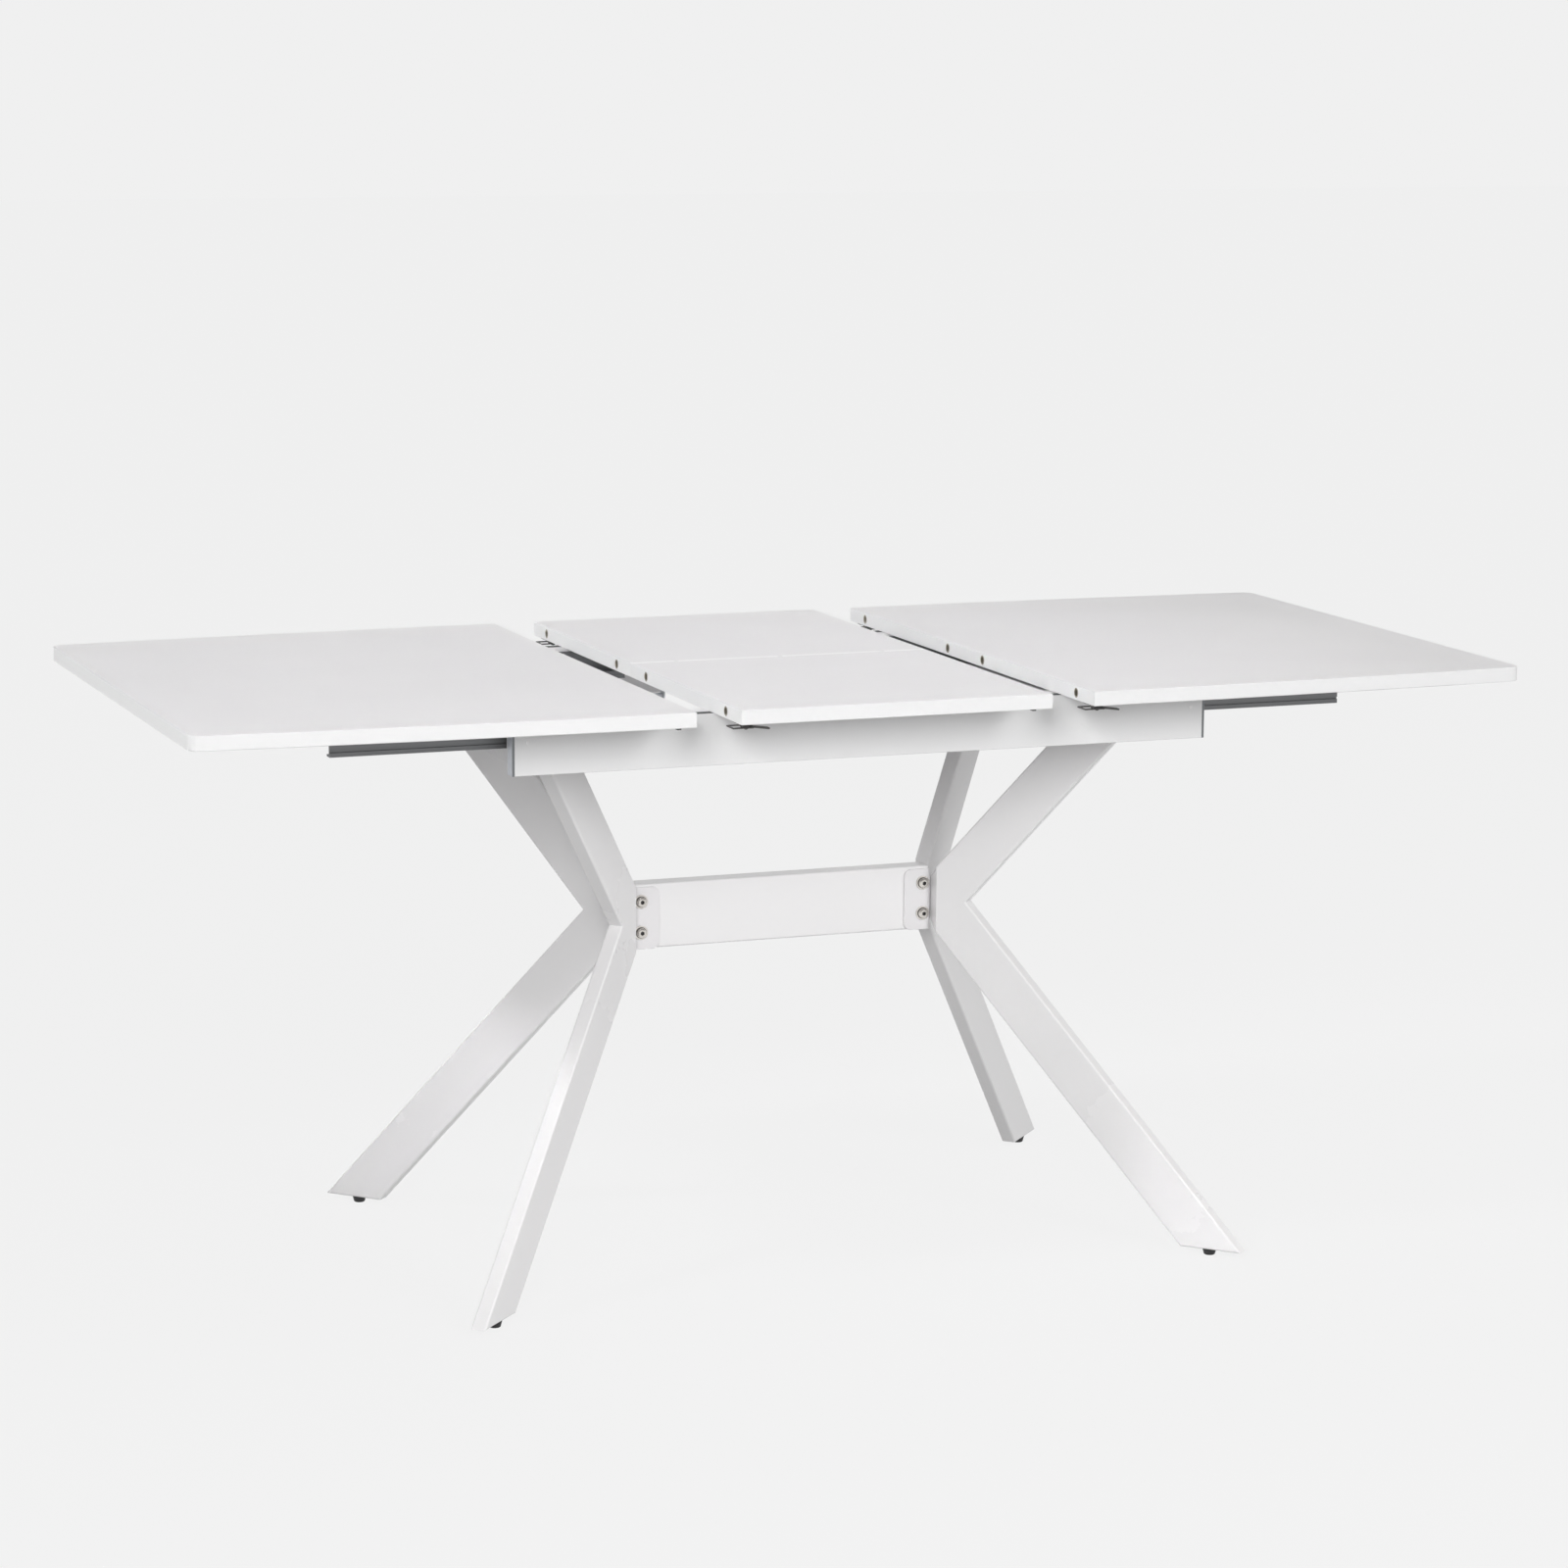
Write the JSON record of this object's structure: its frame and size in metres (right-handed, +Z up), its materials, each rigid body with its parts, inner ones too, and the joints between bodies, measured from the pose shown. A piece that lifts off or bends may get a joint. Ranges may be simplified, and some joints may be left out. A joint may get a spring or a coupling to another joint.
{
  "type": "extendable dining table",
  "caption": "Extendable dining table with two bowed leaves pulled apart on steel slides, a folding middle insert, toggle latches and boomerang tube legs joined by a stretcher.",
  "frame": {"origin": "on the floor, under the middle of the insert", "axes": "+X along the length towards the leaf with the latches, -Y towards the viewer, +Z up"},
  "size_m": [1.711, 0.8, 0.75],
  "materials": {
    "white_lacquer": "satin white lacquer on board",
    "white_board": "white melamine board",
    "white_powder_coat": "white powder coat",
    "slide_steel": "dark rolled steel",
    "zinc_steel": "zinc plated",
    "brass": "satin",
    "nickel": "nickel plated",
    "latch_steel": "blackened steel",
    "black_plastic": "matt black"
  },
  "bodies": {
    "frame": {"front_apron": "white_lacquer", "back_apron": "white_lacquer", "front_batten": "white_board", "back_batten": "white_board", "front_slide_channels": "slide_steel", "back_slide_channels": "slide_steel", "left_cross_board": "white_board", "right_cross_board": "white_board", "well_rails": "white_board", "apron_end_plates": "slide_steel", "left_back_leg": "white_powder_coat", "left_front_leg": "white_powder_coat", "right_back_leg": "white_powder_coat", "right_front_leg": "white_powder_coat", "leg_plates": "white_powder_coat", "leg_plate_bolts": "nickel", "left_knee_bracket": "white_powder_coat", "right_knee_bracket": "white_powder_coat", "stretcher": "white_powder_coat", "stretcher_bolts": "nickel", "stretcher_washers": "nickel", "stretcher_nuts": "nickel", "insert_front_panel": "white_lacquer", "insert_front_pins": "zinc_steel", "insert_front_sockets": "brass", "insert_front_hinge_barrels": "zinc_steel", "insert_pivot_brackets": "zinc_steel", "insert_front_latch_base": "latch_steel", "insert_front_keeper": "latch_steel"},
    "left_leaf": {"left_leaf": "white_lacquer", "left_slide_bars": "slide_steel", "left_bar_screws": "nickel", "left_leaf_pins": "zinc_steel", "left_leaf_keepers": "latch_steel"},
    "right_leaf": {"right_leaf": "white_lacquer", "right_slide_bars": "slide_steel", "right_bar_screws": "nickel", "right_leaf_sockets": "brass", "right_front_latch_base": "latch_steel", "right_back_latch_base": "latch_steel"},
    "insert_back": {"insert_back_panel": "white_lacquer", "insert_back_pins": "zinc_steel", "insert_back_sockets": "brass", "insert_back_hinge_barrels": "zinc_steel", "insert_back_latch_base": "latch_steel", "insert_back_keeper": "latch_steel"},
    "front_links": {"insert_front_hinge_links": "zinc_steel"},
    "back_links": {"insert_back_hinge_links": "zinc_steel"},
    "insert_front_lever": {"insert_front_latch_lever": "latch_steel"},
    "insert_front_bail": {"insert_front_latch_bail": "latch_steel"},
    "insert_back_lever": {"insert_back_latch_lever": "latch_steel"},
    "insert_back_bail": {"insert_back_latch_bail": "latch_steel"},
    "right_front_lever": {"right_front_latch_lever": "latch_steel"},
    "right_front_bail": {"right_front_latch_bail": "latch_steel"},
    "right_back_lever": {"right_back_latch_lever": "latch_steel"},
    "right_back_bail": {"right_back_latch_bail": "latch_steel"},
    "left_back_foot": {"left_back_foot": "black_plastic"},
    "left_front_foot": {"left_front_foot": "black_plastic"},
    "right_back_foot": {"right_back_foot": "black_plastic"},
    "right_front_foot": {"right_front_foot": "black_plastic"}
  },
  "joints": [
    {"name": "left_leaf_slide", "type": "slide", "parent": "frame", "child": "left_leaf", "axis": [1, 0, 0], "range_m": [0, 0.0552]},
    {"name": "right_leaf_slide", "type": "slide", "parent": "frame", "child": "right_leaf", "axis": [-1, 0, 0], "range_m": [0, 0.0552]},
    {"name": "insert_fold", "type": "hinge", "parent": "frame", "child": "insert_back", "pos_m": [0, 0, 0.7503], "axis": [1, 0, 0], "range_deg": [0, 180]},
    {"name": "front_link_swing", "type": "hinge", "parent": "frame", "child": "front_links", "pos_m": [0, -0.0064, 0.7439], "axis": [1, 0, 0], "range_deg": [0, 90]},
    {"name": "back_link_swing", "type": "hinge", "parent": "insert_back", "child": "back_links", "pos_m": [0, 0.0064, 0.7439], "axis": [1, 0, 0], "range_deg": [-90, 0]},
    {"name": "insert_front_lever_turn", "type": "hinge", "parent": "frame", "child": "insert_front_lever", "pos_m": [-0.185, -0.37, 0.7265], "axis": [0, 1, 0], "range_deg": [0, 150]},
    {"name": "insert_front_bail_turn", "type": "hinge", "parent": "insert_front_lever", "child": "insert_front_bail", "pos_m": [-0.17807, -0.37, 0.72553], "axis": [0, 1, 0], "range_deg": [-150, 0]},
    {"name": "insert_back_lever_turn", "type": "hinge", "parent": "insert_back", "child": "insert_back_lever", "pos_m": [-0.185, 0.37, 0.7265], "axis": [0, 1, 0], "range_deg": [0, 150]},
    {"name": "insert_back_bail_turn", "type": "hinge", "parent": "insert_back_lever", "child": "insert_back_bail", "pos_m": [-0.17807, 0.37, 0.72553], "axis": [0, 1, 0], "range_deg": [-150, 0]},
    {"name": "right_front_lever_turn", "type": "hinge", "parent": "right_leaf", "child": "right_front_lever", "pos_m": [0.2705, -0.37, 0.7265], "axis": [0, 1, 0], "range_deg": [0, 150]},
    {"name": "right_front_bail_turn", "type": "hinge", "parent": "right_front_lever", "child": "right_front_bail", "pos_m": [0.27743, -0.37, 0.72553], "axis": [0, 1, 0], "range_deg": [-150, 0]},
    {"name": "right_back_lever_turn", "type": "hinge", "parent": "right_leaf", "child": "right_back_lever", "pos_m": [0.2705, 0.37, 0.7265], "axis": [0, 1, 0], "range_deg": [0, 150]},
    {"name": "right_back_bail_turn", "type": "hinge", "parent": "right_back_lever", "child": "right_back_bail", "pos_m": [0.27743, 0.37, 0.72553], "axis": [0, 1, 0], "range_deg": [-150, 0]},
    {"name": "left_back_foot_turn", "type": "hinge", "parent": "frame", "child": "left_back_foot", "pos_m": [-0.476, 0.303, 0.004], "axis": [0, 0, 1], "continuous": true},
    {"name": "left_front_foot_turn", "type": "hinge", "parent": "frame", "child": "left_front_foot", "pos_m": [-0.476, -0.303, 0.004], "axis": [0, 0, 1], "continuous": true},
    {"name": "right_back_foot_turn", "type": "hinge", "parent": "frame", "child": "right_back_foot", "pos_m": [0.476, 0.303, 0.004], "axis": [0, 0, 1], "continuous": true},
    {"name": "right_front_foot_turn", "type": "hinge", "parent": "frame", "child": "right_front_foot", "pos_m": [0.476, -0.303, 0.004], "axis": [0, 0, 1], "continuous": true}
  ],
  "couplings": [
    {"joint": "front_link_swing", "follows": "insert_fold", "ratio": 0.5},
    {"joint": "back_link_swing", "follows": "insert_fold", "ratio": -0.5},
    {"joint": "insert_front_bail_turn", "follows": "insert_front_lever_turn", "ratio": -1},
    {"joint": "insert_back_bail_turn", "follows": "insert_back_lever_turn", "ratio": -1},
    {"joint": "right_front_bail_turn", "follows": "right_front_lever_turn", "ratio": -1},
    {"joint": "right_back_bail_turn", "follows": "right_back_lever_turn", "ratio": -1}
  ]
}
